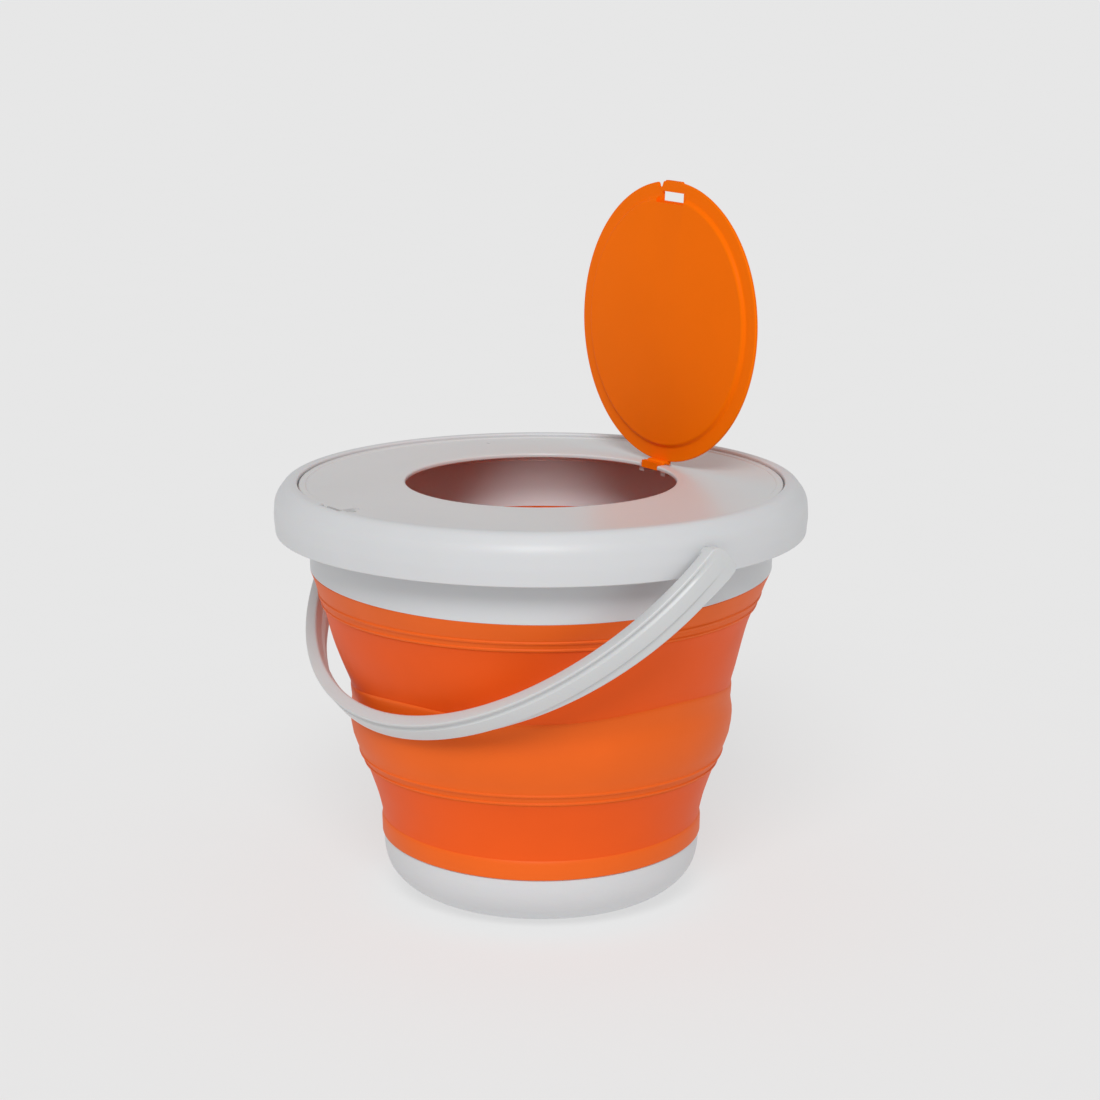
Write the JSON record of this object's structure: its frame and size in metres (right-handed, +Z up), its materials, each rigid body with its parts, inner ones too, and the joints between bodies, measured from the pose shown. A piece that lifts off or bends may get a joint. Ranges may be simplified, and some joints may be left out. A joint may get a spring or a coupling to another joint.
{
  "type": "portable camp toilet",
  "caption": "Folding soft-walled bucket toilet with a rigid rim, a drop-in seat cover with a hinged flip lid, and a strap handle.",
  "frame": {"origin": "centre of the base on the floor", "axes": "+Z up; X along the handle's pivots; +Y to the rear, where the lid is hinged; -Y to the front, where the handle hangs"},
  "size_m": [0.3404, 0.32, 0.4285],
  "materials": {
    "white_shell": "satin moulded polypropylene",
    "white_cover": "satin moulded polypropylene",
    "white_strap": "smooth moulded polypropylene",
    "orange_rubber": "soft satin thermoplastic rubber",
    "orange_lid": "satin moulded polypropylene",
    "pin_steel": "plain steel wire"
  },
  "bodies": {
    "base": {"base_cup": "white_shell", "bellows_bottom_band": "orange_rubber", "bellows_lower_web": "orange_rubber"},
    "mid_ring": {"bellows_middle_ring": "orange_rubber", "bellows_upper_web": "orange_rubber"},
    "rim": {"rim": "white_shell", "bellows_top_band": "orange_rubber"},
    "cover": {"seat_cover": "white_cover", "lid_hinge_pin": "pin_steel"},
    "lid": {"flip_lid": "orange_lid"},
    "strap": {"handle": "white_strap", "handle_pivot_pins": "white_strap"}
  },
  "joints": [
    {"name": "lower_fold", "type": "slide", "parent": "base", "child": "mid_ring", "axis": [0, 0, -1], "range_m": [0, 0.068], "deforming": ["bellows_lower_web"]},
    {"name": "upper_fold", "type": "slide", "parent": "mid_ring", "child": "rim", "axis": [0, 0, -1], "range_m": [0, 0.09], "deforming": ["bellows_upper_web"]},
    {"name": "cover_lift", "type": "slide", "parent": "rim", "child": "cover", "axis": [0, 0, 1], "range_m": [0, 0.03]},
    {"name": "lid_hinge", "type": "hinge", "parent": "cover", "child": "lid", "pos_m": [0, 0.0879, 0.2544], "axis": [1, 0, 0], "range_deg": [0, 93]},
    {"name": "strap_swing", "type": "hinge", "parent": "rim", "child": "strap", "pos_m": [0, 0, 0.239], "axis": [-1, 0, 0], "range_deg": [0, 132]}
  ]
}
